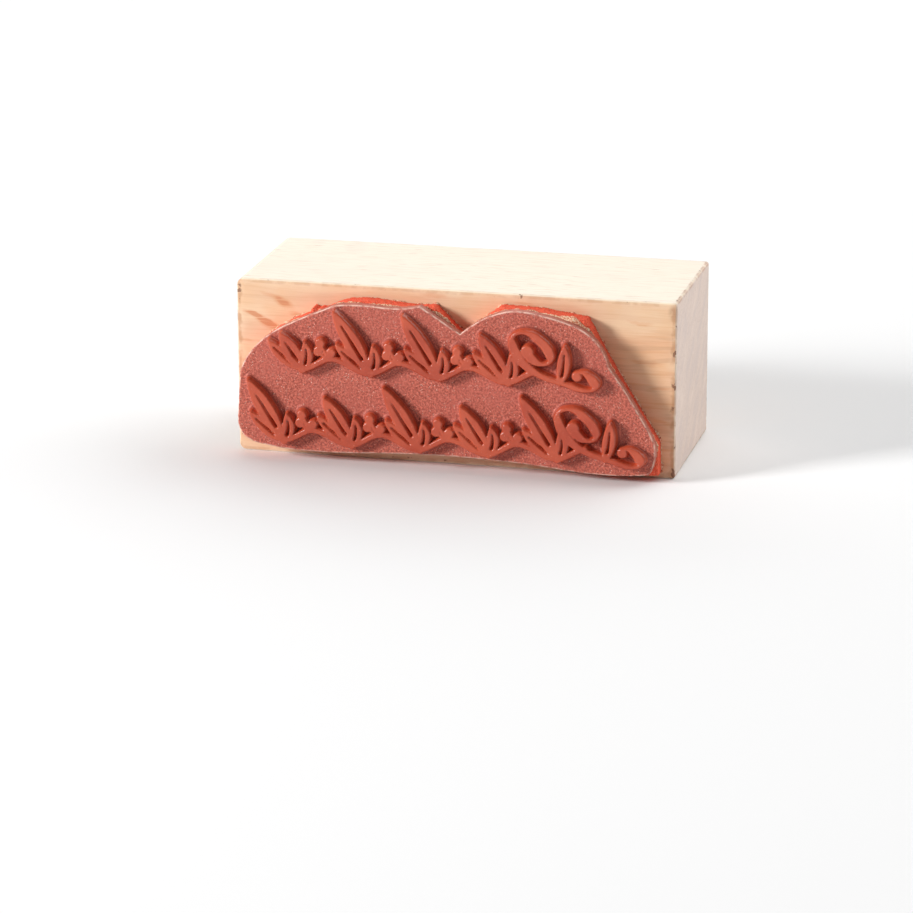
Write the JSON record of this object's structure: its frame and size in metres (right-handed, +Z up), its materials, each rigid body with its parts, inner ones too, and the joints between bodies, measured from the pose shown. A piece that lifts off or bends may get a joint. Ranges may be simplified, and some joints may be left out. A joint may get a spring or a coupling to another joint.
{
  "type": "rubber stamp",
  "caption": "Wood-mounted rubber stamp: a hand-cut rubber die with a raised design of leaves and berries, on a foam cushion along a long face of a beech bar, with an index print opposite.",
  "frame": {"origin": "on the floor under the middle of the whole stamp, which stands on one long side", "axes": "+X along the beech bar, to the right when facing the die; -Y is the printing side, and the index print faces +Y; +Z up, across the printed rows"},
  "size_m": [0.075, 0.0352, 0.03],
  "materials": {
    "beech": "sanded, unvarnished",
    "index_ink": "matt printing ink",
    "adhesive_film": "tacky film, cream",
    "sponge_foam": "fine open cells",
    "die_rubber": "moulded, grainy floor with powder specks"
  },
  "bodies": {
    "root": {"beech_block": "beech", "index_print": "index_ink", "block_adhesive": "adhesive_film", "foam_cushion": "sponge_foam", "die_adhesive": "adhesive_film", "rubber_die": "die_rubber"}
  },
  "joints": []
}
